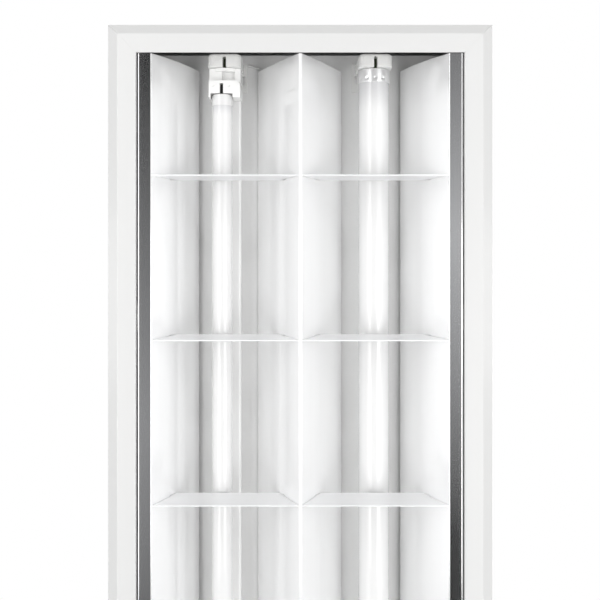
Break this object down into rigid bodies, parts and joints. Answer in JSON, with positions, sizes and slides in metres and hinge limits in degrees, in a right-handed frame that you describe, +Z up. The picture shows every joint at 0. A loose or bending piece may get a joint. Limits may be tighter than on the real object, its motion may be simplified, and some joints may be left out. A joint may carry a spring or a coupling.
{
  "type": "fluorescent louvre luminaire",
  "caption": "Surface-mounted ceiling luminaire with a white steel housing, fluorescent lamps in turning holders and a drop-down mirror louvre.",
  "frame": {"origin": "centre of the flat mounting face on top of the housing", "axes": "+Z points up into the ceiling, +Y along the lamps, +X across the luminaire; the light leaves towards -Z"},
  "size_m": [0.3, 1.2604, 0.1],
  "materials": {
    "white_enamel": "smooth white baked enamel",
    "mirror_aluminium": "polished anodised aluminium, rolled along the lamps",
    "blade_aluminium": "satin anodised aluminium with fine ribs",
    "holder_plastic": "moulded white plastic",
    "rotor_plastic": "moulded dark olive-green plastic",
    "small_rotor_plastic": "moulded black plastic",
    "contact_bronze": "sprung bronze strip",
    "zinc_steel": "zinc-plated steel",
    "phosphor_glass": "glass tube with a white phosphor coat inside",
    "lamp_cap": "drawn aluminium cap",
    "pin_brass": "turned brass pins",
    "cathode_metal": "glass stem with a wire electrode",
    "adapter_plastic": "moulded white plastic",
    "carrier_profile": "extruded pale profile",
    "ballast_steel": "laminated steel core with a dark lacquer",
    "starter_can": "moulded white plastic can",
    "socket_plastic": "moulded white plastic",
    "capacitor_plastic": "moulded pale plastic can",
    "bush_rubber": "moulded black rubber",
    "earth_brass": "brass stud, nut and lug",
    "wire_insulation": "soft plastic insulation"
  },
  "bodies": {
    "housing": {"housing_body": "white_enamel", "end_plate_front": "white_enamel", "end_plate_rear": "white_enamel", "gear_tray": "white_enamel", "lampholder_left_front": "holder_plastic", "lampholder_left_rear": "holder_plastic", "lampholder_right_front": "holder_plastic", "lampholder_right_rear": "holder_plastic", "lampholder_contacts": "contact_bronze", "end_plate_screws": "zinc_steel", "ballast_screws": "zinc_steel", "tray_nuts": "zinc_steel", "louvre_clips": "zinc_steel", "capacitor_clip": "zinc_steel", "ballast_front": "ballast_steel", "ballast_rear": "ballast_steel", "starter_socket_front": "socket_plastic", "starter_socket_rear": "socket_plastic", "terminal_block": "socket_plastic", "capacitor": "capacitor_plastic", "cable_bush": "bush_rubber", "earth_terminal": "earth_brass", "wiring": "wire_insulation"},
    "louvre_unit": {"side_reflector_left": "mirror_aluminium", "side_reflector_right": "mirror_aluminium", "centre_reflector": "mirror_aluminium", "cross_blade_1": "blade_aluminium", "cross_blade_2": "blade_aluminium", "cross_blade_3": "blade_aluminium", "cross_blade_4": "blade_aluminium", "cross_blade_5": "blade_aluminium", "cross_blade_6": "blade_aluminium", "cross_blade_7": "blade_aluminium", "cross_blade_8": "blade_aluminium", "cross_blade_9": "blade_aluminium"},
    "t8_lamp": {"t8_tube": "phosphor_glass", "t8_cap_front": "lamp_cap", "t8_cap_rear": "lamp_cap", "t8_pins": "pin_brass", "t8_cathodes": "cathode_metal"},
    "t5_adapter": {"t5_adapter_front": "adapter_plastic", "t5_adapter_rear": "adapter_plastic", "t5_adapter_pins": "pin_brass", "t5_carrier": "carrier_profile"},
    "t5_lamp": {"t5_tube": "phosphor_glass", "t5_cap_front": "lamp_cap", "t5_cap_rear": "lamp_cap", "t5_pins": "pin_brass", "t5_cathodes": "cathode_metal"},
    "left_front_rotor": {"lampholder_rotor_left_front": "rotor_plastic"},
    "left_rear_rotor": {"lampholder_rotor_left_rear": "rotor_plastic"},
    "right_front_rotor": {"lampholder_rotor_right_front": "rotor_plastic"},
    "right_rear_rotor": {"lampholder_rotor_right_rear": "rotor_plastic"},
    "t5_front_rotor": {"t5_rotor_front": "small_rotor_plastic"},
    "starter_front": {"starter_front": "starter_can"},
    "t5_rear_rotor": {"t5_rotor_rear": "small_rotor_plastic"},
    "starter_rear": {"starter_rear": "starter_can"}
  },
  "joints": [
    {"name": "louvre_drop", "type": "slide", "parent": "housing", "child": "louvre_unit", "axis": [0, 0, -1], "range_m": [0, 0.08]},
    {"name": "t8_lamp_turn", "type": "hinge", "parent": "housing", "child": "t8_lamp", "pos_m": [0.061, 0, -0.056], "axis": [0, 1, 0], "range_deg": [0, 90]},
    {"name": "t5_adapter_turn", "type": "hinge", "parent": "housing", "child": "t5_adapter", "pos_m": [-0.061, 0, -0.056], "axis": [0, 1, 0], "range_deg": [0, 90]},
    {"name": "t5_lamp_turn", "type": "hinge", "parent": "t5_adapter", "child": "t5_lamp", "pos_m": [-0.0633, 0, -0.063], "axis": [0, 1, 0], "range_deg": [0, 90]},
    {"name": "left_front_rotor_turn", "type": "hinge", "parent": "housing", "child": "left_front_rotor", "pos_m": [-0.061, 0, -0.056], "axis": [0, 1, 0], "range_deg": [0, 90]},
    {"name": "left_rear_rotor_turn", "type": "hinge", "parent": "housing", "child": "left_rear_rotor", "pos_m": [-0.061, 0, -0.056], "axis": [0, 1, 0], "range_deg": [0, 90]},
    {"name": "right_front_rotor_turn", "type": "hinge", "parent": "housing", "child": "right_front_rotor", "pos_m": [0.061, 0, -0.056], "axis": [0, 1, 0], "range_deg": [0, 90]},
    {"name": "right_rear_rotor_turn", "type": "hinge", "parent": "housing", "child": "right_rear_rotor", "pos_m": [0.061, 0, -0.056], "axis": [0, 1, 0], "range_deg": [0, 90]},
    {"name": "t5_front_rotor_turn", "type": "hinge", "parent": "t5_adapter", "child": "t5_front_rotor", "pos_m": [-0.0633, 0, -0.063], "axis": [0, 1, 0], "range_deg": [0, 90]},
    {"name": "t5_rear_rotor_turn", "type": "hinge", "parent": "t5_adapter", "child": "t5_rear_rotor", "pos_m": [-0.0633, 0, -0.063], "axis": [0, 1, 0], "range_deg": [0, 90]},
    {"name": "starter_front_twist", "type": "hinge", "parent": "housing", "child": "starter_front", "pos_m": [0, -0.06, -0.038], "axis": [0, 0, 1], "range_deg": [0, 40]},
    {"name": "starter_rear_twist", "type": "hinge", "parent": "housing", "child": "starter_rear", "pos_m": [0, 0.06, -0.038], "axis": [0, 0, 1], "range_deg": [0, 40]}
  ],
  "couplings": [
    {"joint": "left_front_rotor_turn", "follows": "t5_adapter_turn", "ratio": 1},
    {"joint": "left_rear_rotor_turn", "follows": "t5_adapter_turn", "ratio": 1},
    {"joint": "right_front_rotor_turn", "follows": "t8_lamp_turn", "ratio": 1},
    {"joint": "right_rear_rotor_turn", "follows": "t8_lamp_turn", "ratio": 1},
    {"joint": "t5_front_rotor_turn", "follows": "t5_lamp_turn", "ratio": 1},
    {"joint": "t5_rear_rotor_turn", "follows": "t5_lamp_turn", "ratio": 1}
  ]
}
